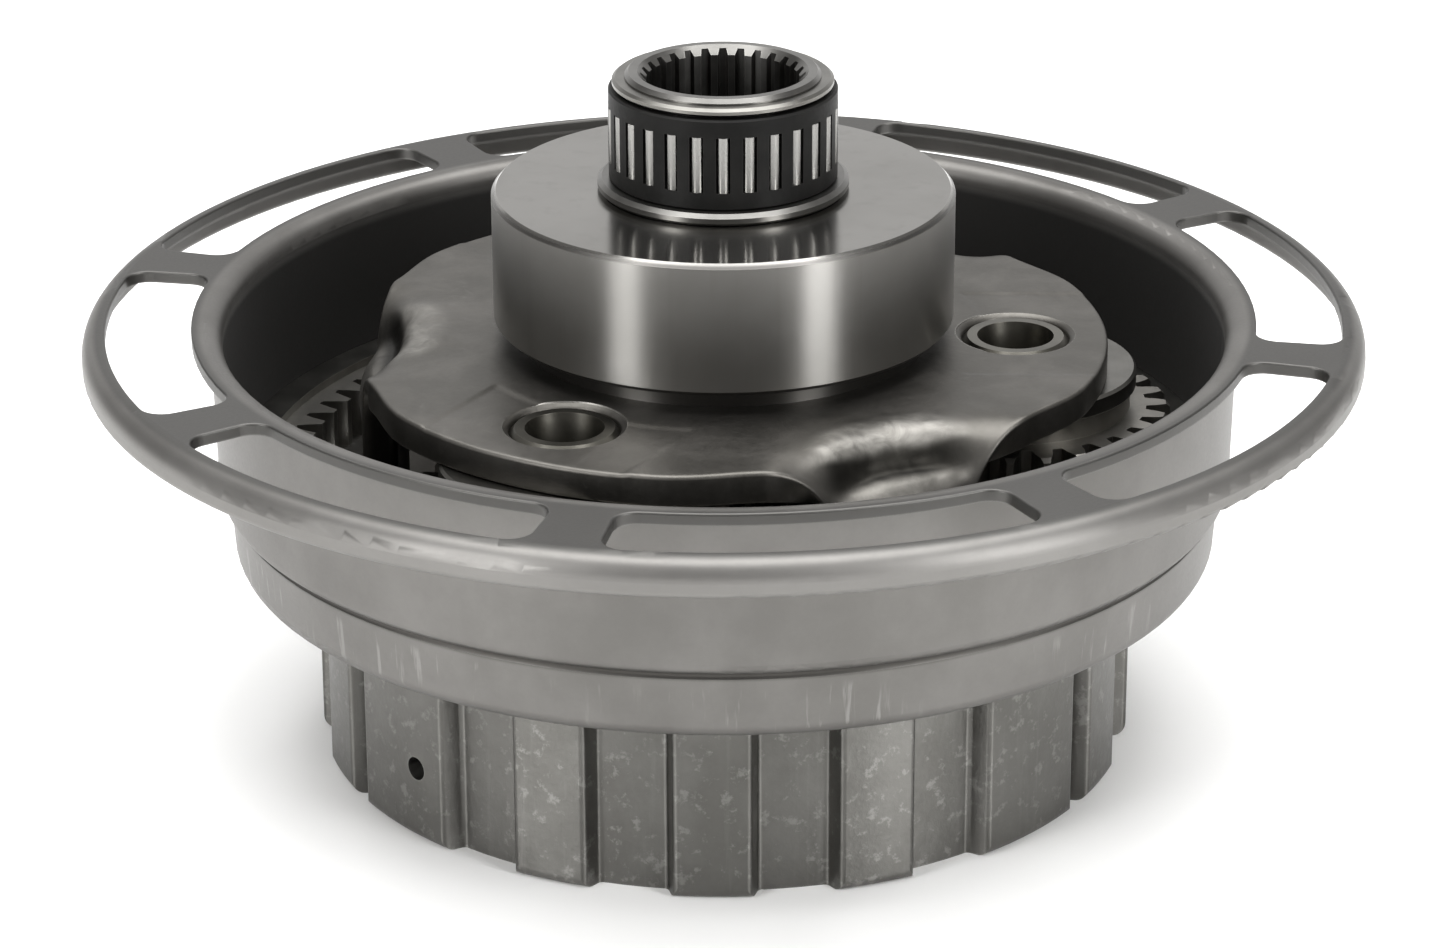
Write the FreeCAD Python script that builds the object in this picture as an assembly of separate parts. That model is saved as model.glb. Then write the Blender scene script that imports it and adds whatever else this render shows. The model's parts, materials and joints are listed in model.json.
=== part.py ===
import FreeCAD, Part
import math
import os

os.makedirs("parts", exist_ok=True)

V = FreeCAD.Vector

# ---------------------------------------------------------------- driving dimensions, mm
# Heights named *_z are measured from the rim plane of the drum; RIM lifts them so
# that the open end of the lugged hub stands on z = 0.
RIM = 82.0

MODULE = 2.0
SUN_TEETH = 27
PLANET_TEETH = 27
RING_TEETH = 81
PIN_CIRCLE_R = MODULE * (SUN_TEETH + PLANET_TEETH) / 2.0      # 54.0
PIN_ANGLES = [-1.35, 118.65, 238.65]
BACKLASH = 0.12                                             # per flank, at the pitch circle

# flanged drum, drawn sheet
FLANGE_R = 118.0
FLANGE_TOP = 1.4
SHEET = 2.2
WALL_R_TOP = 94.6
WALL_R_LOW = 94.1
BAND_R_TOP = 92.2
BAND_R_LOW = 91.6
BAND_BORE_R = 89.0
DRUM_FLOOR = -43.4
DRUM_FLOOR_IN = -41.0
FLOOR_OPENING_R = 79.6
WINDOW_R_IN, WINDOW_R_OUT = 98.0, 113.6
SPOKE_ANGLE0 = -13.6
SPOKE_WIDTH_DEG = 6.3
WINDOWS = 8

# lugged hub
LUGS = 16
LUG_ANGLE0 = -91.7
LUG_CREST_R = 76.5
LUG_ROOT_R = 72.5
LUG_SHEET = 3.0
LUG_HALF_DEG = 5.15
LUG_WIDE_HALF_DEG = 8.9
LUG_WIDE_SHIFT_DEG = 3.75
LUG_FLANK_DEG = 1.2
HUB_BOTTOM_Z = -82.0
HUB_FLANGE_R = 86.0
HUB_FLANGE_TOP = -38.8
OIL_HOLE_R = 2.2
OIL_HOLE_Z = -67.6

# ring gear and its snap ring
RING_TOP = -29.5
RING_OD_R = 88.98
SNAP_T = 1.6
SNAP_R_OUT = 92.95
SNAP_R_IN = 86.4

# carrier
PLATE_TOP = -3.4
PLATE_T = 6.0
PLATE_R = 71.0
LOBE_HALF_DEG = 41.0
LEG_R_OUT, LEG_R_IN = 68.0, 61.8
LEG_HALF_DEG = 12.5
LEG_BEND_R = 9.0
LOWER_TOP, LOWER_BOTTOM = -39.2, -43.5
LOWER_R = 68.4
HUB_R = 42.5
HUB_BOTTOM, HUB_TOP = 0.2, 25.0
NECK_R = 38.0
SPIGOT_R = 34.0
BUSH_OD_R = 21.5

# sun shaft
SHAFT_R = 18.5
SHAFT_TOP, SHAFT_BOTTOM = 47.2, -61.0
SPLINE_TIP_R, SPLINE_ROOT_R, SPLINE_TEETH = 14.0, 15.0, 28
SHAFT_BORE_R = 15.4

# planets
PLANET_TOP, PLANET_BOTTOM = -17.0, -38.0
PLANET_BOSS_R, PLANET_BOSS_TOP = 21.5, -13.3
PIN_R = 10.0
PLANET_BORE_R = 13.04
ROLLER_R = 1.48
ROLLERS = 22

# needle cage on the shaft
CAGE_BOTTOM, CAGE_TOP = 27.4, 44.3
NEEDLES = 27
NEEDLE_R = 1.24


# ---------------------------------------------------------------- helpers
def up(z):
    return z + RIM


def cyl(r, z0, z1, x=0.0, y=0.0):
    return Part.makeCylinder(r, z1 - z0, V(x, y, up(z0)))


def ring(r_out, r_in, z0, z1, x=0.0, y=0.0):
    return cyl(r_out, z0, z1, x, y).cut(cyl(r_in, z0 - 1.0, z1 + 1.0, x, y))


def cone(r0, r1, z0, z1, x=0.0, y=0.0):
    return Part.makeCone(r0, r1, z1 - z0, V(x, y, up(z0)))


def turned(profile, x=0.0, y=0.0):
    """Solid of revolution about a vertical axis; profile is a list of (r, z) or ((r, z), (r_mid, z_mid)) arc ends."""
    edges = []
    pts = profile + [profile[0]]
    last = None
    for item in pts:
        if isinstance(item[0], tuple):
            end, mid = item
            a = V(last[0], 0, up(last[1]))
            m = V(mid[0], 0, up(mid[1]))
            b = V(end[0], 0, up(end[1]))
            edges.append(Part.Arc(a, m, b).toShape())
            last = end
        else:
            if last is not None:
                edges.append(Part.makeLine(V(last[0], 0, up(last[1])), V(item[0], 0, up(item[1]))))
            last = item
    face = Part.Face(Part.Wire(edges))
    s = face.revolve(V(0, 0, 0), V(0, 0, 1), 360)
    if s.Volume < 0:
        s.reverse()
    s.translate(V(x, y, 0))
    return s


def spin(shape, deg, x=0.0, y=0.0):
    c = shape.copy()
    c.rotate(V(x, y, 0), V(0, 0, 1), deg)
    return c


def pol(r, deg):
    return (r * math.cos(math.radians(deg)), r * math.sin(math.radians(deg)))


def sector(r_out, r_in, z0, z1, mid_deg, half_deg, corner=0.0):
    a0, a1 = mid_deg - half_deg, mid_deg + half_deg
    p = lambda r, a: V(*pol(r, a), up(z0))
    w = Part.Wire([
        Part.Arc(p(r_out, a0), p(r_out, mid_deg), p(r_out, a1)).toShape(),
        Part.makeLine(p(r_out, a1), p(r_in, a1)),
        Part.Arc(p(r_in, a1), p(r_in, mid_deg), p(r_in, a0)).toShape(),
        Part.makeLine(p(r_in, a0), p(r_out, a0)),
    ])
    s = Part.Face(w).extrude(V(0, 0, z1 - z0))
    if corner > 0:
        e = [k for k in s.Edges if abs(k.tangentAt(k.FirstParameter).z) > 0.99]
        s = s.makeFillet(corner, e)
    return s


def prism(points, z0, z1):
    v = [V(a, b, up(z0)) for a, b in points]
    v.append(v[0])
    return Part.Face(Part.makePolygon(v)).extrude(V(0, 0, z1 - z0))


def inv(a):
    return math.tan(a) - a


def gear_outline(teeth, tip_r, root_r, thin, phase_deg, internal=False, steps=5):
    """Involute outline of module MODULE, 20 degrees; a tooth (or, for internal, a space) is centred on phase_deg."""
    rp = MODULE * teeth / 2.0
    alpha = math.radians(20.0)
    rb = rp * math.cos(alpha)
    half = math.pi / (2.0 * teeth) + (thin if internal else -thin) / rp
    lo, hi = (root_r, tip_r) if not internal else (tip_r, root_r)
    start = max(lo, rb + 0.001)
    flank = []
    for i in range(steps + 1):
        r = start + (hi - start) * i / steps
        a = math.acos(min(1.0, rb / r))
        flank.append((r, half + inv(alpha) - inv(a)))
    if start > lo:
        flank.insert(0, (lo, flank[0][1] + 0.012))
    pts = []
    for k in range(teeth):
        c = math.radians(phase_deg) + 2.0 * math.pi * k / teeth
        for r, a in flank:
            pts.append((r * math.cos(c - a), r * math.sin(c - a)))
        for r, a in reversed(flank):
            pts.append((r * math.cos(c + a), r * math.sin(c + a)))
    return pts


def save(name, shape):
    if not shape.isValid():
        print("INVALID", name)
    print("%-28s solids %2d  volume %.1f" % (name, len(shape.Solids), shape.Volume))
    shape.exportStep("parts/%s.step" % name)


# ---------------------------------------------------------------- flanged drum
def arc_mid(cx, cz, r, deg):
    return (cx + r * math.cos(math.radians(deg)), cz + r * math.sin(math.radians(deg)))


def flanged_drum():
    rim_c = (95.8, -2.0)                       # centre of the rim bend
    lip_c = (114.0, -2.6)                      # centre of the turned-down lip
    prof = [
        (FLOOR_OPENING_R, DRUM_FLOOR_IN),
        (87.4, DRUM_FLOOR_IN),
        ((BAND_BORE_R, -39.4), arc_mid(87.4, -39.4, 1.6, -45)),
        (BAND_BORE_R, RING_TOP),
        (93.0, RING_TOP),
        (93.0, RING_TOP + SNAP_T + 0.05),
        (91.8, RING_TOP + SNAP_T + 0.05),
        (92.4, -2.0),
        ((95.8, FLANGE_TOP), arc_mid(rim_c[0], rim_c[1], 3.4, 135)),
        (114.0, FLANGE_TOP),
        ((FLANGE_R, -2.6), arc_mid(lip_c[0], lip_c[1], 4.0, 45)),
        (FLANGE_R, -4.2),
        ((116.9, -5.3), arc_mid(116.9, -4.2, 1.1, -45)),
        ((115.8, -4.2), arc_mid(116.9, -4.2, 1.1, -135)),
        (115.8, -2.6),
        ((114.0, -0.8), arc_mid(lip_c[0], lip_c[1], 1.8, 45)),
        (95.8, -0.8),
        ((WALL_R_TOP, -2.0), arc_mid(rim_c[0], rim_c[1], 1.2, 135)),
        (WALL_R_LOW, -28.2),
        ((93.2, -30.0), arc_mid(91.9, -28.4, 2.2, -18)),
        ((BAND_R_TOP, -31.6), arc_mid(94.6, -31.4, 2.4, 146)),
        (BAND_R_LOW, -40.4),
        ((88.6, DRUM_FLOOR), arc_mid(88.6, -40.4, 3.0, -45)),
        (FLOOR_OPENING_R, DRUM_FLOOR),
    ]
    s = turned(prof)
    pitch = 360.0 / WINDOWS
    for k in range(WINDOWS):
        mid = SPOKE_ANGLE0 + pitch * (k + 0.5)
        half = (pitch - SPOKE_WIDTH_DEG) / 2.0
        s = s.cut(sector(WINDOW_R_OUT, WINDOW_R_IN, -6.0, 4.0, mid, half, 4.2))
    rim = []
    for e in s.Edges:
        b = e.BoundBox
        if b.ZMax - b.ZMin < 1e-4 and abs(b.ZMax - up(FLANGE_TOP)) < 1e-3:
            p = e.valueAt((e.FirstParameter + e.LastParameter) / 2.0)
            r = math.hypot(p.x, p.y)
            if 97.5 < r < 113.8:
                rim.append(e)
    return s.makeFillet(0.45, rim)


# ---------------------------------------------------------------- lugged hub
def lug_spans():
    pitch = 360.0 / LUGS
    spans = []
    for k in range(LUGS):
        if k % 4 == 2:
            # a wide lug grows on one side only, away from the nearest quarter point
            shift = LUG_WIDE_SHIFT_DEG if k % 8 == 2 else -LUG_WIDE_SHIFT_DEG
            spans.append((LUG_ANGLE0 + pitch * k + shift, LUG_WIDE_HALF_DEG))
        else:
            spans.append((LUG_ANGLE0 + pitch * k, LUG_HALF_DEG))
    return spans


def lug_prism(r_crest, r_root, shrink_deg, flank_deg, z0, z1, corner):
    edges = []
    P = lambda r, a: V(*pol(r, a), up(z0))
    spans = lug_spans()
    for i, (c, h) in enumerate(spans):
        h = h - shrink_deg
        nc, nh = spans[(i + 1) % len(spans)]
        if i == len(spans) - 1:
            nc += 360.0
        nh = nh - shrink_deg
        edges.append(Part.Arc(P(r_crest, c - h), P(r_crest, c), P(r_crest, c + h)).toShape())
        g0, g1 = c + h + flank_deg, nc - nh - flank_deg
        edges.append(Part.makeLine(P(r_crest, c + h), P(r_root, g0)))
        edges.append(Part.Arc(P(r_root, g0), P(r_root, (g0 + g1) / 2.0), P(r_root, g1)).toShape())
        edges.append(Part.makeLine(P(r_root, g1), P(r_crest, nc - nh)))
    s = Part.Face(Part.Wire(edges)).extrude(V(0, 0, z1 - z0))
    e = [k for k in s.Edges if abs(k.tangentAt(k.FirstParameter).z) > 0.99]
    return s.makeFillet(corner, e)


def lugged_hub():
    outer = lug_prism(LUG_CREST_R, LUG_ROOT_R, 0.0, LUG_FLANK_DEG, HUB_BOTTOM_Z, HUB_FLANGE_TOP, 1.1)
    inner = lug_prism(LUG_CREST_R - LUG_SHEET, LUG_ROOT_R - LUG_SHEET, 2.2, LUG_FLANK_DEG, HUB_BOTTOM_Z - 1.0, HUB_FLANGE_TOP + 1.0, 0.7)
    flange = ring(HUB_FLANGE_R, LUG_ROOT_R - 0.5, DRUM_FLOOR_IN, HUB_FLANGE_TOP)
    # slots of the flange over every second groove
    spans = lug_spans()
    for i, (c, h) in enumerate(spans):
        nc, nh = spans[(i + 1) % len(spans)]
        if i == len(spans) - 1:
            nc += 360.0
        if i % 2 == 0:
            continue
        g0, g1 = c + h + LUG_FLANK_DEG, nc - nh - LUG_FLANK_DEG
        flange = flange.cut(sector(79.4, LUG_ROOT_R - 1.5, DRUM_FLOOR_IN - 1, HUB_FLANGE_TOP + 1, (g0 + g1) / 2.0, (g1 - g0) / 2.0 + 0.4))
    s = outer.fuse(flange)
    s = s.cut(inner)
    # rounded lower corner of the lugs
    b, q = HUB_BOTTOM_Z, 2.2
    c = (LUG_CREST_R - q, b + q)
    s = s.cut(turned([(LUG_CREST_R - q, b), ((LUG_CREST_R, b + q), arc_mid(c[0], c[1], q, -45)), (LUG_CREST_R + 3.0, b + q), (LUG_CREST_R + 3.0, b - 1.0), (LUG_CREST_R - q, b - 1.0)]))
    for k in (6, 14):
        a = LUG_ANGLE0 + 360.0 / LUGS * k
        x, y = pol(60.0, a)
        d = V(*pol(1.0, a), 0)
        s = s.cut(Part.makeCylinder(OIL_HOLE_R, 30.0, V(x, y, up(OIL_HOLE_Z)), d))
    return s.removeSplitter()


def hub_web():
    prof = [
        (20.5, -45.5), (29.0, -45.5), (30.0, -46.5), (30.0, -49.0),
        (66.0, -49.0), ((69.2, -52.2), arc_mid(66.0, -52.2, 3.2, 45)), (69.2, -58.0),
        (66.8, -58.0), (66.8, -52.4), ((66.2, -51.8), arc_mid(66.2, -52.4, 0.6, 45)),
        (30.0, -51.8), (27.5, -54.3), (27.5, -60.0), (26.5, -61.0), (20.5, -61.0),
    ]
    s = turned(prof)
    for k in range(6):
        x, y = pol(47.5, 30 + 60 * k)
        s = s.cut(cyl(8.0, -53.0, -48.0, x, y))
    return s


def web_bushing():
    return turned([(18.46, -45.9), (18.9, -45.6), (20.5, -45.6), (20.5, -60.6), (18.9, -60.6), (18.46, -60.2)])


# ---------------------------------------------------------------- ring gear
def ring_gear():
    body = turned([(78.0, HUB_FLANGE_TOP), (RING_OD_R - 0.8, HUB_FLANGE_TOP), (RING_OD_R, HUB_FLANGE_TOP + 0.8),
                   (RING_OD_R, RING_TOP - 0.6), (RING_OD_R - 0.6, RING_TOP), (78.0, RING_TOP)])
    space = prism(gear_outline(RING_TEETH, 79.15, 83.6, BACKLASH, PIN_ANGLES[0], internal=True), HUB_FLANGE_TOP - 1, RING_TOP + 1)
    return body.cut(space)


def ring_gear_snap_ring():
    s = ring(SNAP_R_OUT, SNAP_R_IN, RING_TOP, RING_TOP + SNAP_T)
    gap = sector(100.0, 80.0, RING_TOP - 1, RING_TOP + SNAP_T + 1, 78.0, 4.0)
    return s.cut(gap)


# ---------------------------------------------------------------- carrier
def carrier_hub():
    prof = [
        (BUSH_OD_R, -9.4), (SPIGOT_R, -9.4), (SPIGOT_R, PLATE_TOP), (NECK_R, PLATE_TOP), (NECK_R, -0.8),
        ((NECK_R + 1.0, HUB_BOTTOM), arc_mid(NECK_R + 1.0, -0.8, 1.0, 135)),
        (HUB_R - 0.9, HUB_BOTTOM), (HUB_R, HUB_BOTTOM + 0.9), (HUB_R, HUB_TOP - 0.9), (HUB_R - 0.9, HUB_TOP),
        (BUSH_OD_R + 0.6, HUB_TOP), (BUSH_OD_R, HUB_TOP - 0.6),
    ]
    return turned(prof)


def carrier_bushing():
    return turned([(18.55, -8.6), (18.9, -8.9), (BUSH_OD_R, -8.9), (BUSH_OD_R, 24.0), (18.9, 24.0), (18.55, 23.7)])


def leg_outline(mid_deg):
    """Radial prism of one leg: straight sides that flare into the plate above."""
    h = LEG_R_OUT * math.sin(math.radians(LEG_HALF_DEG))
    f = 6.5
    zt = PLATE_TOP - PLATE_T
    z0 = LOWER_TOP
    P = lambda t, z: V(45.0, t, up(z))
    k = f * (1.0 - math.sqrt(0.5))
    w = Part.Wire([
        Part.makeLine(P(-h, z0), P(h, z0)),
        Part.makeLine(P(h, z0), P(h, zt - f)),
        Part.Arc(P(h, zt - f), P(h + k, zt - k), P(h + f, zt)).toShape(),
        Part.makeLine(P(h + f, zt), P(h + f, PLATE_TOP + 1.0)),
        Part.makeLine(P(h + f, PLATE_TOP + 1.0), P(-h - f, PLATE_TOP + 1.0)),
        Part.makeLine(P(-h - f, PLATE_TOP + 1.0), P(-h - f, zt)),
        Part.Arc(P(-h - f, zt), P(-h - k, zt - k), P(-h, zt - f)).toShape(),
        Part.makeLine(P(-h, zt - f), P(-h, z0)),
    ])
    s = Part.Face(w).extrude(V(40.0, 0, 0))
    s.rotate(V(0, 0, 0), V(0, 0, 1), mid_deg)
    return s


def carrier_upper_plate():
    z1, z0 = PLATE_TOP, PLATE_TOP - PLATE_T
    # pressed sheet: a flat disc whose three legs are bent down through a wide radius
    q = LEG_BEND_R
    bell = turned([
        (SPIGOT_R, z1), (LEG_R_OUT - q, z1), ((LEG_R_OUT, z1 - q), arc_mid(LEG_R_OUT - q, z1 - q, q, 45)),
        (LEG_R_OUT, LOWER_TOP), (LEG_R_IN, LOWER_TOP), (LEG_R_IN, z0 - 2.8), ((LEG_R_IN - 2.8, z0), arc_mid(LEG_R_IN - 2.8, z0 - 2.8, 2.8, 45)),
        (SPIGOT_R, z0)])
    disc = ring(PLATE_R, SPIGOT_R, z0, z1)
    for k in range(3):
        mid = PIN_ANGLES[k] + 60.0
        disc = disc.cut(sector(PLATE_R + 6, LEG_R_OUT - q, z0 - 1, z1 + 1, mid, 60.0 - LOBE_HALF_DEG, 0.0))
    vert = [k for k in disc.Edges if abs(k.tangentAt(k.FirstParameter).z) > 0.99 and math.hypot(k.Vertexes[0].X, k.Vertexes[0].Y) > 70.0 and len(k.Vertexes) == 2]
    disc = disc.makeFillet(6.0, vert)
    s = disc
    for k in range(3):
        s = s.fuse(bell.common(leg_outline(PIN_ANGLES[k] + 60.0)))
    s = s.removeSplitter()
    for k in range(3):
        mid = PIN_ANGLES[k] + 60.0
        x, y = pol(70.0, mid)
        # stiffening dent pressed into the bend
        s = s.cut(Part.makeSphere(14.0, V(x, y, up(7.0))))
        a = PIN_ANGLES[k]
        # coined pad round each pin
        pad = Part.makeBox(40.0, 42.0, 2.0, V(40.0, -21.0, up(PLATE_TOP - 0.3)))
        pad = pad.cut(cyl(49.0, -8.0, 4.0))
        pad.rotate(V(0, 0, 0), V(0, 0, 1), a)
        s = s.cut(pad)
        x, y = pol(PIN_CIRCLE_R, a)
        s = s.cut(cyl(PIN_R, z0 - 1, z1 + 1, x, y))
        s = s.cut(cone(PIN_R, PIN_R + 1.4, z1 - 1.4, z1 + 0.001, x, y))
    s = s.cut(cyl(SPIGOT_R, z0 - 1, z1 + 1))
    return s


def carrier_lower_plate():
    s = ring(LOWER_R, 20.5, LOWER_BOTTOM, LOWER_TOP)
    e = [k for k in s.Edges if isinstance(k.Curve, Part.Circle) and abs(k.Curve.Radius - LOWER_R) < 0.01]
    s = s.makeChamfer(0.8, e)
    for k in range(3):
        x, y = pol(PIN_CIRCLE_R, PIN_ANGLES[k])
        s = s.cut(cyl(PIN_R, LOWER_BOTTOM - 1, LOWER_TOP + 1, x, y))
        x, y = pol(46.0, PIN_ANGLES[k] + 60.0)
        s = s.cut(cyl(4.0, LOWER_BOTTOM - 1, LOWER_TOP + 1, x, y))
    return s


def planet_pin(k):
    x, y = pol(PIN_CIRCLE_R, PIN_ANGLES[k])
    prof = [
        (5.0, LOWER_BOTTOM), (PIN_R - 0.6, LOWER_BOTTOM), (PIN_R, LOWER_BOTTOM + 0.6), (PIN_R, PLATE_TOP - 1.7),
        (PIN_R - 1.1, PLATE_TOP - 0.5), (7.1, PLATE_TOP - 0.5), (5.6, -12.0), (5.0, -16.0),
    ]
    s = turned(prof, x, y)
    d = V(*pol(1.0, PIN_ANGLES[k]), 0)
    # cross drilling that feeds oil to the rollers
    s = s.cut(Part.makeCylinder(1.5, 14.0, V(x, y, up(-27.5)), d))
    return s


def planet_washer_upper(k):
    x, y = pol(PIN_CIRCLE_R, PIN_ANGLES[k])
    s = turned([(PIN_R + 0.15, PLATE_TOP - PLATE_T - 3.8), (22.0, PLATE_TOP - PLATE_T - 3.8), (22.5, PLATE_TOP - PLATE_T - 3.3),
                (22.5, PLATE_TOP - PLATE_T - 0.5), (22.0, PLATE_TOP - PLATE_T), (PIN_R + 0.15, PLATE_TOP - PLATE_T)], x, y)
    return s


def planet_washer_lower(k):
    x, y = pol(PIN_CIRCLE_R, PIN_ANGLES[k])
    s = ring(14.2, PIN_R + 0.15, LOWER_TOP, LOWER_TOP + 1.1, x, y)
    return s


# ---------------------------------------------------------------- planets
def planet_gear(k):
    a = PIN_ANGLES[k]
    x, y = pol(PIN_CIRCLE_R, a)
    s = prism(gear_outline(PLANET_TEETH, 29.0, 24.5, BACKLASH, a), PLANET_BOTTOM, PLANET_TOP)
    trim = turned([(10.0, PLANET_BOTTOM), (28.2, PLANET_BOTTOM), (29.4, PLANET_BOTTOM + 1.2),
                   (29.4, PLANET_TOP - 1.2), (28.2, PLANET_TOP), (10.0, PLANET_TOP)])
    s = s.common(trim)
    s = s.fuse(cyl(PLANET_BOSS_R, PLANET_TOP - 0.5, PLANET_BOSS_TOP))
    s = s.cut(cyl(PLANET_BORE_R, PLANET_BOTTOM - 1, PLANET_BOSS_TOP + 1))
    s = s.cut(cone(PLANET_BORE_R, PLANET_BORE_R + 0.8, PLANET_BOSS_TOP - 0.8, PLANET_BOSS_TOP + 0.001))
    s.translate(V(x, y, 0))
    return s


def planet_rollers(k):
    x, y = pol(PIN_CIRCLE_R, PIN_ANGLES[k])
    rc = (PIN_R + PLANET_BORE_R) / 2.0
    rollers = []
    for i in range(ROLLERS):
        px, py = pol(rc, 360.0 * i / ROLLERS + PIN_ANGLES[k])
        rollers.append(cyl(ROLLER_R, -36.0, -15.5, x + px, y + py))
    return Part.makeCompound(rollers)


# ---------------------------------------------------------------- sun shaft
def sun_shaft():
    prof = [
        (SHAFT_BORE_R, SHAFT_BOTTOM), (17.6, SHAFT_BOTTOM), (18.4, SHAFT_BOTTOM + 0.8), (18.4, -37.0), (24.0, -37.0),
        (24.0, -11.2), (SHAFT_R, -11.2), (SHAFT_R, 44.5), (17.4, 44.5), (17.4, 46.2), (SHAFT_R - 0.6, 46.2),
        (SHAFT_R - 0.6, 46.5), (17.2, SHAFT_TOP), (15.6, SHAFT_TOP), (14.0, 45.6), (14.0, 12.0), (SHAFT_BORE_R, 10.6),
    ]
    s = turned(prof)
    teeth = prism(gear_outline(SUN_TEETH, 29.0, 24.5, BACKLASH, PIN_ANGLES[0]), -37.0, -18.0)
    trim = turned([(10.0, -37.0), (28.2, -37.0), (29.4, -35.8), (29.4, -19.2), (28.2, -18.0), (10.0, -18.0)])
    teeth = teeth.common(trim).cut(cyl(20.0, -40.0, 0.0))
    s = s.fuse(teeth)
    # internal spline
    slot = []
    for i in range(SPLINE_TEETH):
        a = 360.0 * i / SPLINE_TEETH
        slot.append(spin(prism([(13.5, -0.95), (14.0, -0.92), (15.0, -0.62), (15.0, 0.62), (14.0, 0.92), (13.5, 0.95)], 9.0, 48.0), a))
    s = s.cut(Part.makeCompound(slot))
    return s


def shaft_shoulder_ring():
    return turned([(SHAFT_R, 25.1), (22.4, 25.1), (23.0, 25.7), (23.0, 26.6), (22.2, 27.3), (SHAFT_R, 27.3)])


def retaining_ring():
    s = turned([(17.4, 44.6), (19.6, 44.6), (20.2, 45.1), (20.2, 45.7), (19.6, 46.15), (17.4, 46.15)])
    return s.cut(sector(22.0, 16.0, 44.0, 47.0, 62.0, 9.0))


def sun_thrust_washer_upper():
    return ring(26.0, 18.7, -11.1, -9.5)


def sun_thrust_washer_lower():
    return ring(24.4, 18.7, LOWER_TOP, -37.1)


def carrier_thrust_washer():
    return ring(29.0, 21.0, -45.5, -43.6)


# ---------------------------------------------------------------- needle cage on the shaft
def needle_cage():
    s = turned([(19.0, CAGE_BOTTOM), (20.6, CAGE_BOTTOM), (20.9, CAGE_BOTTOM + 0.3), (20.9, CAGE_TOP - 0.3), (20.6, CAGE_TOP), (19.0, CAGE_TOP)])
    zc = (CAGE_BOTTOM + CAGE_TOP) / 2.0
    slots = []
    for i in range(NEEDLES):
        b = Part.makeBox(6.0, 2.0 * NEEDLE_R + 0.06, 10.4, V(17.0, -NEEDLE_R - 0.03, up(zc - 5.2)))
        slots.append(spin(b, -90.0 + 360.0 * i / NEEDLES))
    return s.cut(Part.makeCompound(slots))


def needle_rollers():
    zc = (CAGE_BOTTOM + CAGE_TOP) / 2.0
    out = []
    for i in range(NEEDLES):
        x, y = pol(SHAFT_R + 0.02 + NEEDLE_R, -90.0 + 360.0 * i / NEEDLES)
        out.append(cyl(NEEDLE_R, zc - 5.15, zc + 5.15, x, y))
    return Part.makeCompound(out)


# ---------------------------------------------------------------- output
save("flanged_drum", flanged_drum())
save("lugged_hub", lugged_hub())
save("hub_web", hub_web())
save("web_bushing", web_bushing())
save("carrier_thrust_washer", carrier_thrust_washer())
save("ring_gear", ring_gear())
save("ring_gear_snap_ring", ring_gear_snap_ring())
save("carrier_hub", carrier_hub())
save("carrier_bushing", carrier_bushing())
save("carrier_upper_plate", carrier_upper_plate())
save("carrier_lower_plate", carrier_lower_plate())
for n in range(3):
    save("planet_pin_%d" % (n + 1), planet_pin(n))
    save("planet_washer_upper_%d" % (n + 1), planet_washer_upper(n))
    save("planet_washer_lower_%d" % (n + 1), planet_washer_lower(n))
    save("planet_gear_%d" % (n + 1), planet_gear(n))
    save("planet_rollers_%d" % (n + 1), planet_rollers(n))
save("sun_shaft", sun_shaft())
save("sun_thrust_washer_upper", sun_thrust_washer_upper())
save("sun_thrust_washer_lower", sun_thrust_washer_lower())
save("shaft_shoulder_ring", shaft_shoulder_ring())
save("retaining_ring", retaining_ring())
save("needle_cage", needle_cage())
save("needle_rollers", needle_rollers())
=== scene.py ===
import bpy
import bmesh
import json
import math
from mathutils import Matrix, Vector, noise as mnoise


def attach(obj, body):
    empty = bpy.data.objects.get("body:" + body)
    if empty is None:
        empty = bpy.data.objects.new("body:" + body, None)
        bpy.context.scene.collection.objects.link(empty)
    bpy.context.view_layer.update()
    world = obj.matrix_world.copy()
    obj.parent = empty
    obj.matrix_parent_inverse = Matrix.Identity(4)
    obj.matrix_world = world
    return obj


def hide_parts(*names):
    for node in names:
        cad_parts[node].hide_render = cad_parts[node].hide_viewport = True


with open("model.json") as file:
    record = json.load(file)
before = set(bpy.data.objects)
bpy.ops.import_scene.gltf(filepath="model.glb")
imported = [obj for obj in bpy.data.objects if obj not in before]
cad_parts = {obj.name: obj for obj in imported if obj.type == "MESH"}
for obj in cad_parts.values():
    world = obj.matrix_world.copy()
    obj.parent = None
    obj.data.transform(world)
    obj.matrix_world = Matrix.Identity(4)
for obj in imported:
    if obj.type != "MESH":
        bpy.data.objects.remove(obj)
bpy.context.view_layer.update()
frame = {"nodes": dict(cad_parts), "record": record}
nodes = frame["nodes"]

MM = 0.001
RIM = 0.082


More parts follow.
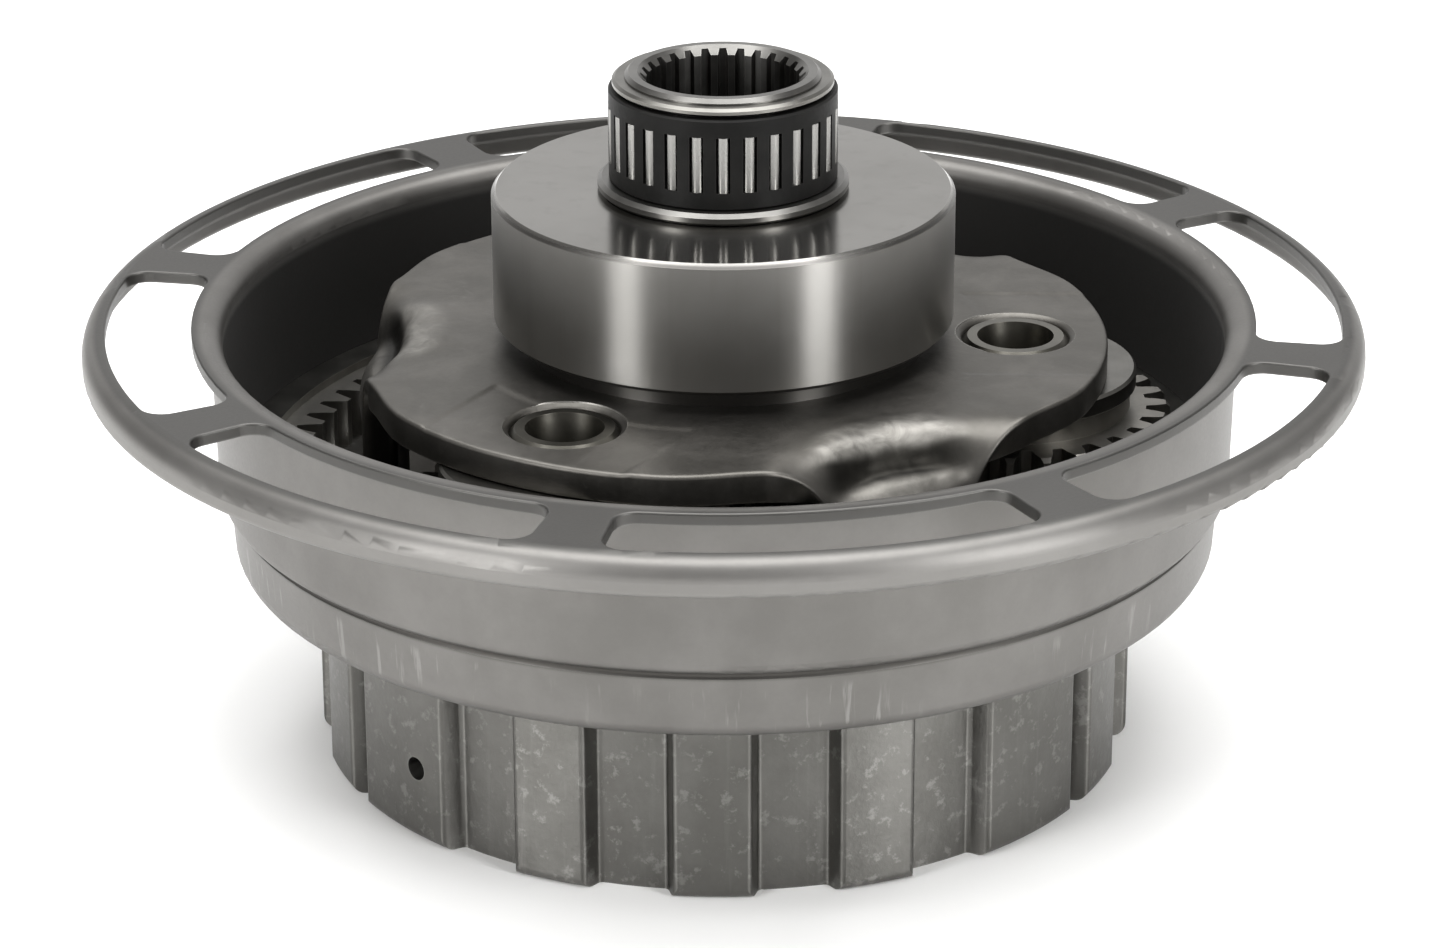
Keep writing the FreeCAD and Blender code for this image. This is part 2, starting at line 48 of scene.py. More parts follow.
# ------------------------------------------------------------------ node graph helpers
class G:
    """Small wrapper that builds a material's node tree."""

    def __init__(self, name):
        self.mat = bpy.data.materials.new(name)
        self.mat.use_nodes = True
        self.t = self.mat.node_tree
        self.t.nodes.clear()
        self.out = self.t.nodes.new("ShaderNodeOutputMaterial")
        self.b = self.t.nodes.new("ShaderNodeBsdfPrincipled")
        self.t.links.new(self.b.outputs[0], self.out.inputs[0])
        self.co = self.t.nodes.new("ShaderNodeTexCoord").outputs["Object"]
        self.sep = None

    def link(self, a, b):
        self.t.links.new(a, b)

    def put(self, sock, v):
        if hasattr(v, "is_output"):
            self.link(v, sock)
        else:
            sock.default_value = v

    def math(self, op, a, b=0.0, c=None, clamp=False):
        n = self.t.nodes.new("ShaderNodeMath")
        n.operation = op
        n.use_clamp = clamp
        self.put(n.inputs[0], a)
        self.put(n.inputs[1], b)
        if c is not None:
            self.put(n.inputs[2], c)
        return n.outputs[0]

    def xyz(self):
        if self.sep is None:
            s = self.t.nodes.new("ShaderNodeSeparateXYZ")
            self.link(self.co, s.inputs[0])
            self.sep = s.outputs
        return self.sep

    def polar(self, cx=0.0, cy=0.0):
        x, y, z = self.xyz()
        x = self.math("SUBTRACT", x, cx)
        y = self.math("SUBTRACT", y, cy)
        r = self.math("SQRT", self.math("ADD", self.math("MULTIPLY", x, x), self.math("MULTIPLY", y, y)))
        return r, x, y, z

    def vec(self, a, b, c):
        n = self.t.nodes.new("ShaderNodeCombineXYZ")
        self.put(n.inputs[0], a)
        self.put(n.inputs[1], b)
        self.put(n.inputs[2], c)
        return n.outputs[0]

    def scale(self, v, k):
        n = self.t.nodes.new("ShaderNodeVectorMath")
        n.operation = "MULTIPLY"
        self.link(v, n.inputs[0])
        n.inputs[1].default_value = k
        return n.outputs[0]

    def noise(self, vec, scale, detail=3.0, rough=0.55, distortion=0.0):
        n = self.t.nodes.new("ShaderNodeTexNoise")
        self.link(vec, n.inputs["Vector"])
        n.inputs["Scale"].default_value = scale
        n.inputs["Detail"].default_value = detail
        n.inputs["Roughness"].default_value = rough
        n.inputs["Distortion"].default_value = distortion
        return n.outputs[0]

    def voronoi(self, vec, scale, feature="F1"):
        n = self.t.nodes.new("ShaderNodeTexVoronoi")
        n.feature = feature
        self.link(vec, n.inputs["Vector"])
        n.inputs["Scale"].default_value = scale
        return n.outputs[0]

    def ramp(self, fac, lo, hi, a=0.0, b=1.0):
        n = self.t.nodes.new("ShaderNodeMapRange")
        n.interpolation_type = "SMOOTHSTEP"
        self.put(n.inputs[0], fac)
        n.inputs[1].default_value = lo
        n.inputs[2].default_value = hi
        n.inputs[3].default_value = a
        n.inputs[4].default_value = b
        return n.outputs[0]

    def mix(self, fac, a, b):
        n = self.t.nodes.new("ShaderNodeMix")
        n.data_type = "RGBA"
        self.put(n.inputs[0], fac)
        self.put(n.inputs[6], a if hasattr(a, "is_output") else (*a, 1.0))
        self.put(n.inputs[7], b if hasattr(b, "is_output") else (*b, 1.0))
        return n.outputs[2]

    def bump(self, height, dist, strength=1.0, prev=None):
        n = self.t.nodes.new("ShaderNodeBump")
        n.inputs["Strength"].default_value = strength
        n.inputs["Distance"].default_value = dist
        self.link(height, n.inputs["Height"])
        if prev is not None:
            self.link(prev, n.inputs["Normal"])
        return n.outputs[0]

    def edge(self, radius, lo=0.02, hi=0.16):
        """1 on convex and concave edges, from the angle between the rounded and the true normal."""
        bv = self.t.nodes.new("ShaderNodeBevel")
        bv.samples = 6
        bv.inputs["Radius"].default_value = radius
        ge = self.t.nodes.new("ShaderNodeNewGeometry")
        d = self.t.nodes.new("ShaderNodeVectorMath")
        d.operation = "DOT_PRODUCT"
        self.link(bv.outputs[0], d.inputs[0])
        self.link(ge.outputs["Normal"], d.inputs[1])
        inv = self.math("SUBTRACT", 1.0, d.outputs["Value"])
        return self.ramp(inv, lo, hi)

    def done(self, color, rough, metal=1.0, normal=None, aniso=0.0, turn=0.0, spec=0.5, coat=0.0):
        b = self.b
        self.put(b.inputs["Base Color"], color if hasattr(color, "is_output") else (*color, 1.0))
        self.put(b.inputs["Roughness"], rough)
        self.put(b.inputs["Metallic"], metal)
        b.inputs["Specular IOR Level"].default_value = spec
        b.inputs["Coat Weight"].default_value = coat
        if normal is not None:
            self.link(normal, b.inputs["Normal"])
        if aniso:
            b.inputs["Anisotropic"].default_value = aniso
            b.inputs["Anisotropic Rotation"].default_value = turn
            tg = self.t.nodes.new("ShaderNodeTangent")
            tg.direction_type = "RADIAL"
            tg.axis = "Z"
            self.link(tg.outputs[0], b.inputs["Tangent"])
        return self.mat


def lerp(g, f, a, b):
    return g.math("ADD", a, g.math("MULTIPLY", f, b - a))


# ------------------------------------------------------------------ materials
def m_drum():
    g = G("drum_steel_mat")
    r, x, y, z = g.polar()
    ring = g.noise(g.vec(g.math("MULTIPLY", r, 900.0), g.math("MULTIPLY", z, 900.0), g.math("MULTIPLY", x, 4.0)), 1.0, 3.0)
    grain = g.noise(g.co, 1500.0, 2.0)
    cloud = g.noise(g.co, 42.0, 5.0, 0.6)
    # short upright draw marks, in patches, on the lower band
    drag = g.noise(g.vec(g.math("MULTIPLY", x, 620.0), g.math("MULTIPLY", y, 620.0), g.math("MULTIPLY", z, 45.0)), 1.0, 3.0, 0.6)
    patch = g.ramp(g.noise(g.co, 26.0, 2.0), 0.46, 0.60)
    onband = g.math("MULTIPLY", g.ramp(z, RIM - 0.0425, RIM - 0.0405, 0.0, 1.0), g.ramp(z, RIM - 0.0345, RIM - 0.0325, 1.0, 0.0))
    marks = g.math("MULTIPLY", g.math("MULTIPLY", g.ramp(drag, 0.56, 0.68), patch), onband)
    edge = g.edge(0.0007)
    low = g.ramp(z, RIM - 0.0297, RIM - 0.0290, 1.0, 0.0)
    upper_in = g.ramp(r, 0.0931, 0.0937, 1.0, 0.0)
    lower_in = g.ramp(r, 0.0900, 0.0906, 1.0, 0.0)
    inside = g.math("ADD", g.math("MULTIPLY", low, lower_in), g.math("MULTIPLY", g.math("SUBTRACT", 1.0, low), upper_in))
    inside = g.math("MULTIPLY", inside, g.ramp(z, RIM - 0.0042, RIM - 0.0012, 1.0, 0.0))
    inside = g.math("MULTIPLY", inside, g.ramp(z, RIM - 0.0431, RIM - 0.0425, 0.0, 1.0))
    # Painted shade: a near black band at the step where the upper wall narrows to the lower band, standing in for
    # the shade in that crease.
    step = g.math("MULTIPLY", g.ramp(z, RIM - 0.0322, RIM - 0.0312, 0.0, 1.0), g.ramp(z, RIM - 0.0304, RIM - 0.0290, 1.0, 0.0))
    base = g.mix(g.ramp(cloud, 0.3, 0.72), (0.128, 0.1235, 0.117), (0.165, 0.160, 0.1525))
    base = g.mix(g.math("MULTIPLY", marks, 0.55), base, (0.26, 0.255, 0.245))
    base = g.mix(g.math("MULTIPLY", step, 0.80), base, (0.030, 0.028, 0.025))
    flange = g.math("MULTIPLY", g.ramp(z, RIM - 0.0046, RIM - 0.0030, 0.0, 1.0), g.math("MULTIPLY", g.ramp(r, 0.0960, 0.0975, 0.0, 1.0), g.ramp(r, 0.1150, 0.1162, 1.0, 0.0)))
    base = g.mix(g.math("MULTIPLY", flange, 0.80), base, (0.072, 0.0705, 0.0675))
    # Painted highlight: the flange's outer lip is painted lighter, standing in for the highlight along its edge.
    painted_lip_highlight = g.ramp(r, 0.1155, 0.1168, 0.0, 1.0)
    base = g.mix(g.math("MULTIPLY", painted_lip_highlight, 0.30), base, (0.27, 0.265, 0.255))
    base = g.mix(g.math("MULTIPLY", edge, 0.38), base, (0.33, 0.325, 0.31))
    base = g.mix(inside, base, (0.009, 0.0084, 0.0077))
    rough = g.math("ADD", lerp(g, cloud, 0.40, 0.50), g.math("MULTIPLY", g.math("SUBTRACT", grain, 0.5), 0.10))
    rough = g.math("ADD", rough, g.math("MULTIPLY", inside, 0.22))
    n = g.bump(ring, 0.00003, 0.35)
    n = g.bump(grain, 0.00002, 0.35, n)
    n = g.bump(marks, 0.00004, 0.4, n)
    n = g.bump(cloud, 0.0006, 0.08, n)
    metal = g.math("SUBTRACT", 0.92, g.math("MULTIPLY", inside, 0.86))
    return g.done(base, rough, metal, n)


def m_lugs():
    g = G("lug_steel_mat")
    grain = g.noise(g.co, 1100.0, 3.0, 0.7)
    pit = g.voronoi(g.co, 900.0)
    cloud = g.noise(g.co, 55.0, 6.0, 0.65)
    blotch = g.noise(g.co, 330.0, 4.0, 0.7)
    streak = g.noise(g.scale(g.co, (420.0, 420.0, 22.0)), 1.0, 4.0, 0.65)
    edge = g.edge(0.0008)
    base = g.mix(g.ramp(cloud, 0.30, 0.70), (0.120, 0.117, 0.109), (0.155, 0.152, 0.143))
    base = g.mix(g.ramp(streak, 0.55, 0.75, 0.0, 0.30), base, (0.20, 0.197, 0.187))
    base = g.mix(g.ramp(blotch, 0.54, 0.68, 0.0, 0.50), base, (0.29, 0.286, 0.273))
    base = g.mix(g.math("MULTIPLY", edge, 0.35), base, (0.30, 0.295, 0.28))
    rough = g.math("ADD", lerp(g, cloud, 0.38, 0.46), g.math("MULTIPLY", g.math("SUBTRACT", blotch, 0.5), 0.26))
    n = g.bump(grain, 0.00005, 0.45)
    n = g.bump(blotch, 0.00022, 0.32, n)
    n = g.bump(pit, 0.00006, 0.25, n)
    return g.done(base, rough, 1.0, n, aniso=0.75, turn=0.25)


def m_ground():
    g = G("ground_steel_mat")
    r, x, y, z = g.polar()
    lines = g.noise(g.vec(g.math("MULTIPLY", r, 5200.0), g.math("MULTIPLY", z, 5200.0), g.math("MULTIPLY", x, 14.0)), 1.0, 4.0, 0.7)
    faint = g.noise(g.co, 30.0, 4.0)
    chatter = g.noise(g.vec(g.math("MULTIPLY", x, 240.0), g.math("MULTIPLY", y, 240.0), g.math("MULTIPLY", z, 9.0)), 1.0, 3.0, 0.6)
    edge = g.edge(0.0006)
    base = g.mix(g.ramp(faint, 0.35, 0.65), (0.25, 0.244, 0.231), (0.29, 0.283, 0.270))
    base = g.mix(g.ramp(chatter, 0.52, 0.72, 0.0, 0.22), base, (0.19, 0.184, 0.172))
    base = g.mix(g.ramp(lines, 0.62, 0.80, 0.0, 0.25), base, (0.22, 0.214, 0.20))
    base = g.mix(g.math("MULTIPLY", edge, 0.35), base, (0.50, 0.49, 0.47))
    face = g.ramp(z, RIM + 0.0244, RIM + 0.0248, 0.0, 1.0)
    # Painted shade: the lowest millimetre of the hub is painted dark where it meets the carrier plate; a narrow
    # band just under the top face is darkened too.
    painted_foot_shade = g.ramp(z, RIM + 0.0008, RIM + 0.0012, 1.0, 0.0)
    rim_top = g.math("MULTIPLY", g.ramp(z, RIM + 0.0239, RIM + 0.0242, 0.0, 1.0), g.math("SUBTRACT", 1.0, face))
    base = g.mix(g.math("MULTIPLY", g.math("MAXIMUM", painted_foot_shade, g.math("MULTIPLY", rim_top, 0.7)), 0.85), base, (0.045, 0.043, 0.040))
    rough = g.math("SUBTRACT", lerp(g, faint, 0.28, 0.32), g.math("MULTIPLY", face, 0.15))
    n = g.bump(lines, 0.000008, 0.25)
    n = g.bump(chatter, 0.00005, 0.12, n)
    return g.done(base, rough, 1.0, n, aniso=0.92, turn=0.25)


def m_carrier():
    g = G("carrier_steel_mat")
    grain = g.noise(g.co, 900.0, 3.0, 0.65)
    cloud = g.noise(g.co, 60.0, 6.0, 0.65, 0.4)
    scuff = g.noise(g.co, 170.0, 5.0, 0.7, 1.0)
    fleck = g.noise(g.co, 420.0, 3.0, 0.6)
    r, x, y, z = g.polar()
    # angle from the middle of the nearest leg
    d = g.math("SUBTRACT", g.math("ARCTAN2", y, x), math.radians(58.65))
    d = g.math("ABSOLUTE", g.math("WRAP", d, math.radians(60.0), math.radians(-60.0)))
    leg = g.ramp(d, math.radians(10.0), math.radians(16.0), 1.0, 0.0)
    bow = g.math("MULTIPLY", g.math("MULTIPLY", d, d), 0.0030 / math.radians(12.0) ** 2)
    rr = g.math("SUBTRACT", r, bow)
    low = g.ramp(z, RIM - 0.0200, RIM - 0.0150, 0.0, 1.0)
    ridge = g.math("MULTIPLY", leg, g.math("MULTIPLY", g.ramp(rr, 0.0500, 0.0545, 0.0, 1.0), g.ramp(rr, 0.0590, 0.0602, 1.0, 0.0)))
    # Painted shade: the crease under the shoulder of each bent leg is painted near black.
    painted_crease_shade = g.math("MULTIPLY", leg, g.math("MULTIPLY", g.ramp(rr, 0.0588, 0.0602, 0.0, 1.0), g.ramp(rr, 0.0622, 0.0642, 1.0, 0.0)))
    swell = g.math("MULTIPLY", g.math("MULTIPLY", leg, low), g.ramp(rr, 0.0630, 0.0652, 0.0, 1.0))
    edge = g.edge(0.0008, 0.03, 0.20)
    base = g.mix(g.ramp(cloud, 0.32, 0.70), (0.092, 0.088, 0.080), (0.135, 0.129, 0.119))
    base = g.mix(g.ramp(scuff, 0.60, 0.76, 0.0, 0.40), base, (0.190, 0.183, 0.171))
    # Painted highlight: the rounded shoulder of each bent leg, and more weakly the bulge below it, are painted
    # lighter as if catching the light.
    painted_bend_highlight = g.math("MULTIPLY", g.math("MAXIMUM", ridge, g.math("MULTIPLY", swell, 0.35)), g.ramp(scuff, 0.36, 0.66, 0.35, 1.0))
    base = g.mix(g.math("MULTIPLY", painted_bend_highlight, 0.72), base, (0.30, 0.291, 0.270))
    base = g.mix(g.math("MULTIPLY", painted_crease_shade, 0.94), base, (0.016, 0.0152, 0.0134))
    base = g.mix(g.math("MULTIPLY", edge, 0.80), base, (0.42, 0.41, 0.385))
    rough = g.math("ADD", lerp(g, cloud, 0.38, 0.50), g.math("MULTIPLY", g.math("SUBTRACT", grain, 0.5), 0.12))
    rough = g.math("ADD", rough, g.math("MULTIPLY", painted_bend_highlight, 0.06))
    n = g.bump(grain, 0.00003, 0.35)
    n = g.bump(fleck, 0.00008, 0.20, n)
    n = g.bump(cloud, 0.0009, 0.14, n)
    return g.done(base, rough, 1.0, n)


def m_gear():
    g = G("gear_steel_mat")
    grain = g.noise(g.scale(g.co, (1500.0, 1500.0, 160.0)), 1.0, 3.0, 0.6)
    cloud = g.noise(g.co, 90.0, 5.0)
    edge = g.edge(0.0004)
    base = g.mix(g.ramp(cloud, 0.3, 0.7), (0.230, 0.222, 0.205), (0.330, 0.318, 0.294))
    base = g.mix(g.math("MULTIPLY", edge, 0.7), base, (0.46, 0.45, 0.42))
    rough = g.math("ADD", 0.28, g.math("MULTIPLY", grain, 0.16))
    n = g.bump(grain, 0.00002, 0.5)
    return g.done(base, rough, 1.0, n)


def m_turned(name, c0, c1, r0, r1, aniso=0.45, cx=0.0, cy=0.0):
    g = G(name)
    r, x, y, z = g.polar(cx, cy)
    lines = g.noise(g.vec(g.math("MULTIPLY", r, 3600.0), g.math("MULTIPLY", z, 3600.0), g.math("MULTIPLY", x, 12.0)), 1.0, 4.0, 0.65)
    cloud = g.noise(g.co, 110.0, 5.0)
    edge = g.edge(0.00035)
    base = g.mix(g.ramp(cloud, 0.3, 0.7), c0, c1)
    base = g.mix(g.ramp(lines, 0.60, 0.82, 0.0, 0.4), base, tuple(k * 0.7 for k in c0))
    base = g.mix(g.math("MULTIPLY", edge, 0.6), base, tuple(min(0.9, k * 1.7) for k in c1))
    rough = g.math("ADD", lerp(g, cloud, r0, r1), g.math("MULTIPLY", g.math("SUBTRACT", lines, 0.5), 0.08))
    n = g.bump(lines, 0.000012, 0.4)
    return g.done(base, rough, 1.0, n, aniso=aniso, turn=0.25)


def m_cage():
    g = G("cage_black_mat")
    grain = g.noise(g.co, 1400.0, 3.0, 0.6)
    cloud = g.noise(g.co, 150.0, 5.0)
    edge = g.edge(0.00025)
    base = g.mix(g.ramp(cloud, 0.35, 0.7), (0.0035, 0.0034, 0.0031), (0.007, 0.0067, 0.0062))
    base = g.mix(g.math("MULTIPLY", edge, 0.30), base, (0.05, 0.048, 0.045))
    rough = g.math("ADD", 0.40, g.math("MULTIPLY", grain, 0.20))
    n = g.bump(grain, 0.00003, 0.35)
    return g.done(base, rough, 0.10, n, spec=0.18)


def m_roller():
    g = G("roller_steel_mat")
    grain = g.noise(g.scale(g.co, (900.0, 900.0, 120.0)), 1.0, 3.0)
    base = g.mix(grain, (0.24, 0.236, 0.228), (0.34, 0.335, 0.32))
    rough = g.math("ADD", 0.20, g.math("MULTIPLY", grain, 0.12))
    n = g.bump(grain, 0.00001, 0.3)
    return g.done(base, rough, 1.0, n)


MATS = {
    "drum_steel": m_drum(),
    "lug_steel": m_lugs(),
    "gear_steel": m_gear(),
    "spring_steel": m_turned("spring_steel_mat", (0.14, 0.136, 0.126), (0.21, 0.205, 0.19), 0.26, 0.36),
    "ground_steel": m_ground(),
    "carrier_steel": m_carrier(),
    "pin_steel": m_turned("pin_steel_mat", (0.095, 0.091, 0.079), (0.150, 0.144, 0.126), 0.28, 0.38, 0.0),
    "washer_steel": m_turned("washer_steel_mat", (0.13, 0.126, 0.116), (0.19, 0.185, 0.172), 0.26, 0.36, 0.0),
    "shaft_steel": m_turned("shaft_steel_mat", (0.125, 0.1225, 0.116), (0.19, 0.186, 0.177), 0.26, 0.36),
    "roller_steel": m_roller(),
    "cage_black": m_cage(),
    "bronze": m_turned("bronze_mat", (0.32, 0.20, 0.085), (0.46, 0.31, 0.15), 0.28, 0.42),
}
SLOT = {s["node"]: s["material_slot"] for s in frame["record"]["subparts"]}


def paint(obj, slot):
    obj.data.materials.clear()
    obj.data.materials.append(MATS[slot])
    for p in obj.data.polygons:
        p.material_index = 0


for name, obj in nodes.items():
    paint(obj, SLOT[name])
    obj.data.shade_smooth()
    obj.data.set_sharp_from_angle(angle=math.radians(28))

# ------------------------------------------------------------------ pressed carrier plate
def smooth(x, a, b):
    t = min(1.0, max(0.0, (x - a) / (b - a)))
    return t * t * (3.0 - 2.0 * t)


def bell(x, c, w):
    return math.exp(-((x - c) / w) ** 2)


PINS = (-1.35, 118.65, 238.65)
TOP = 1000.0 * RIM - 3.4
SHEET = 6.0
BEND_S, BEND_R = 58.0, 9.0
LEG_END = BEND_S + BEND_R * math.pi / 2.0 + 26.8


def bent(s):
    """Radius, height and slope angle of the sheet's upper side at arc length s, where a leg is bent down."""
    if s <= BEND_S:
        return s, 0.0, 0.0
    a = (s - BEND_S) / BEND_R
    if a <= math.pi / 2.0:
        return BEND_S + BEND_R * math.sin(a), -BEND_R * (1.0 - math.cos(a)), a
    return BEND_S + BEND_R, -BEND_R - (s - BEND_S - BEND_R * math.pi / 2.0), math.pi / 2.0


# section of the dented bend: arc length, then radius and height of the upper side
DENT = ((46.0, 46.0, 0.0), (50.0, 50.0, 0.15), (53.0, 53.0, 0.45), (55.5, 55.5, 0.30), (57.5, 57.3, -0.35), (59.3, 58.8, -1.45),
        (61.0, 59.9, -3.0), (62.7, 60.6, -4.7), (64.3, 61.6, -5.9), (66.0, 63.2, -6.3), (67.8, 65.0, -6.9), (69.6, 66.5, -8.2),
        (71.6, 67.5, -10.0), (74.0, 67.7, -12.2), (77.0, 67.3, -14.6), (80.0, 67.05, -17.0), (83.0, 67.0, -19.863))


def dent_shift(s):
    """How far the dent moves the upper side from the plain bend, in radius and height."""
    if s <= DENT[0][0] or s >= DENT[-1][0]:
        return 0.0, 0.0
    i = max(k for k in range(len(DENT) - 1) if DENT[k][0] <= s)
    p1, p2 = DENT[i], DENT[i + 1]
    p0, p3 = DENT[max(0, i - 1)], DENT[min(len(DENT) - 1, i + 2)]
    w = p2[0] - p1[0]
    t = (s - p1[0]) / w
    out = []
    for c in (1, 2):
        m1 = (p2[c] - p0[c]) / (p2[0] - p0[0]) * w
        m2 = (p3[c] - p1[c]) / (p3[0] - p1[0]) * w
        out.append((2 * t ** 3 - 3 * t * t + 1) * p1[c] + (t ** 3 - 2 * t * t + t) * m1 + (3 * t * t - 2 * t ** 3) * p2[c] + (t ** 3 - t * t) * m2)
    r, h, a = bent(s)
    return out[0] - r, out[1] - h


def plate_point(s, mid, d, depth=0.0):
    """Point of the sheet at that depth under its upper side; d is the angle from the leg's middle in degrees."""
    r, h, a = bent(s)
    w = 1.0 - smooth(abs(d), 10.0, 23.0)
    r = (1.0 - w) * s + w * r
    h = w * h
    a = w * a
    t = math.radians(mid + d)
    m = math.exp(-(d / 11.8) ** 4)
    dr, dh = dent_shift(s - 3.0 * (d / 12.0) ** 2)
    push = depth
    if depth == 0.0:
        q = Vector((r * math.cos(t), r * math.sin(t), h))
        near = bell(s, 61.0, 9.5) * math.exp(-(d / 14.0) ** 4)
        push += near * (0.34 * mnoise.noise(q * 0.19 + Vector((3.1, 0.7, 1.9))) + 0.13 * mnoise.noise(q * 0.47))
        push += 0.05 * mnoise.noise(q * 0.12)
        # coined pad round the nearest pin
        p = 60.0 - abs(d)
        u, v = r * math.cos(math.radians(p)), r * math.sin(math.radians(p))
        push += 0.22 * smooth(r, 48.4, 49.4) * (1.0 - smooth(v, 20.6, 21.4)) * smooth(u, 38.0, 40.0)
        r += m * dr
        h += m * dh
    else:
        # the hidden side follows the dent by a third, so that the sheet stays a sheet
        r += 0.33 * m * dr
        h += 0.33 * m * dh
    nr, nz = math.sin(a), math.cos(a)
    return Vector(((r - push * nr) * math.cos(t), (r - push * nr) * math.sin(t), TOP + h - push * nz))


def carrier_plate():
    step, half, reach = 0.6, 60.0, 20.4
    per = 200
    M = 56
    cols = [(k, -half + step * i) for k in range(3) for i in range(per)]
    s_in, inset = 34.0, 0.8

    def outer(d):
        return 71.0 - 2.2 * (1.0 - smooth(abs(d), 24.0, 38.0)) - inset

    def place(k, s, d, depth=0.0):
        return plate_point(s, PINS[k] + 60.0, d, depth)

    verts, under = [], []
    grid = []
    for i in range(M + 1):
        row = []
        for k, d in cols:
            f = i / M
            row.append(len(verts))
            verts.append(place(k, s_in + (outer(d) - s_in) * f, d))
            under.append(place(k, s_in + (outer(d) - s_in) * f, d, SHEET))
        grid.append(row)
    n = len(cols)
    quads = []
    for i in range(M):
        for j in range(n):
            a, b = grid[i][j], grid[i][(j + 1) % n]
            c, d = grid[i + 1][(j + 1) % n], grid[i + 1][j]
            quads.append((a, d, c, b))
    s0 = 71.0 - 2.2 - inset
    rows_t = [1.0 - math.cos(math.pi / 2.0 * t / 12.0) for t in range(1, 13)]
    rows = [s0 + 9.0 * t for t in rows_t]
    s = rows[-1]
    while s < LEG_END - 1.2:
        s += 1.1
        rows.append(s)
    rows.append(LEG_END)
    loop = []
    for k in range(3):
        ja = k * per + round((half - reach) / step)
        jb = k * per + round((half + reach) / step)
        tongue = []
        for s in rows:
            t = min(1.0, (s - s0) / 9.0)
            h = 11.6 + (reach - 11.6) * (1.0 - math.sqrt(max(0.0, 1.0 - (1.0 - t) ** 2)))
            row = []
            for j in range(ja, jb + 1):
                d = cols[j][1] / reach * h
                row.append(len(verts))
                verts.append(place(k, s, d))
                under.append(place(k, s, d, SHEET))
            tongue.append(row)
        last = [grid[M][j] for j in range(ja, jb + 1)]
        for row in tongue:
            for c in range(len(row) - 1):
                quads.append((last[c], row[c], row[c + 1], last[c + 1]))
            last = row
        start = k * per
        loop += [grid[M][j] for j in range(start, ja + 1)]
        loop += [row[0] for row in tongue]
        loop += tongue[-1][1:-1]
        loop += [row[-1] for row in reversed(tongue)]
        loop += [grid[M][j] for j in range(jb, start + per)]
    # normals of the upper side
    nv = len(verts)
    nor = [Vector((0, 0, 0)) for _ in range(nv)]
    for q in quads:
        a, b, c, d = (verts[i] for i in q)
        fn = (c - a).cross(d - b)
        for i in q:
            nor[i] += fn
    sign = 1.0 if nor[grid[3][5]].z > 0 else -1.0
    nor = [v.normalized() * sign for v in nor]
    faces = [q if sign > 0 else q[::-1] for q in quads]
    down = [(u - v) / (u - v).length for v, u in zip(verts, under)]
    thick = [(u - v).length for v, u in zip(verts, under)]
    verts = verts + under
    faces += [tuple(i + nv for i in reversed(q)) for q in faces[:]]
    # rounded rim along the outline
    L = len(loop)
    outs = []
    for i in range(L):
        a, b = verts[loop[i - 1]], verts[loop[(i + 1) % L]]
        m = nor[loop[i]]
        o = (b - a).cross(m)
        outs.append(o.normalized())
    if sum(o.dot(Vector((verts[v].x, verts[v].y, 0))) for o, v in zip(outs, loop)) < 0:
        outs = [-o for o in outs]
    e = inset
    levels = [(e * math.sin(a), e * (1.0 - math.cos(a))) for a in (0.4, 0.8, 1.2, 1.5708)]
    levels = [(u, v, 0) for u, v in levels] + [(e, 0.0, 1)] + [(u, v, 2) for u, v in reversed(levels)]
    prev = loop
    for u, v, side in levels:
        cur = []
        for i in range(L):
            t = thick[loop[i]]
            w = v if side == 0 else (t * 0.5 if side == 1 else t - v)
            cur.append(len(verts))
            verts.append(verts[loop[i]] + outs[i] * u + down[loop[i]] * w)
        for i in range(L):
            faces.append((prev[i], cur[i], cur[(i + 1) % L], prev[(i + 1) % L]))
        prev = cur
    last = [v + nv for v in loop]
    for i in range(L):
        faces.append((prev[i], last[i], last[(i + 1) % L], prev[(i + 1) % L]))
    for j in range(n):
        a, b = grid[0][j], grid[0][(j + 1) % n]
        faces.append((a, b, b + nv, a + nv))
    me = bpy.data.meshes.new("pressed_carrier_plate")
    me.from_pydata([v * MM for v in verts], [], faces)
    bm = bmesh.new()
    bm.from_mesh(me)
    bmesh.ops.remove_doubles(bm, verts=bm.verts, dist=1e-7)
    bmesh.ops.recalc_face_normals(bm, faces=bm.faces)
    if bm.calc_volume(signed=True) < 0:
        bmesh.ops.reverse_faces(bm, faces=bm.faces)
    bm.to_mesh(me)
    bm.free()
    ob = bpy.data.objects.new("pressed_carrier_plate", me)
    bpy.context.scene.collection.objects.link(ob)
    cutters = []
    for a in PINS:
        t = math.radians(a)
        c = lathe("pin_hole_cutter", [(0.0, TOP - 12.0), (10.0, TOP - 12.0), (10.0, TOP - 1.15), (10.15, TOP - 0.85), (10.7, TOP - 0.42), (11.0, TOP - 0.24), (11.8, TOP + 2.0), (0.0, TOP + 2.0)], 96, 54.0 * math.cos(t), 54.0 * math.sin(t))
        cutters.append(c)
        mod = ob.modifiers.new("cut", "BOOLEAN")
        mod.operation = "DIFFERENCE"
        mod.solver = "EXACT"
        mod.object = c
    bpy.context.view_layer.update()
    dg = bpy.context.evaluated_depsgraph_get()
    done = bpy.data.meshes.new_from_object(ob.evaluated_get(dg))
    ob.modifiers.clear()
    ob.data = done
    for c in cutters:
        bpy.data.objects.remove(c)
    finish_piece(ob, "carrier", "carrier_steel", 38.0, "carrier_upper_plate")
    return ob


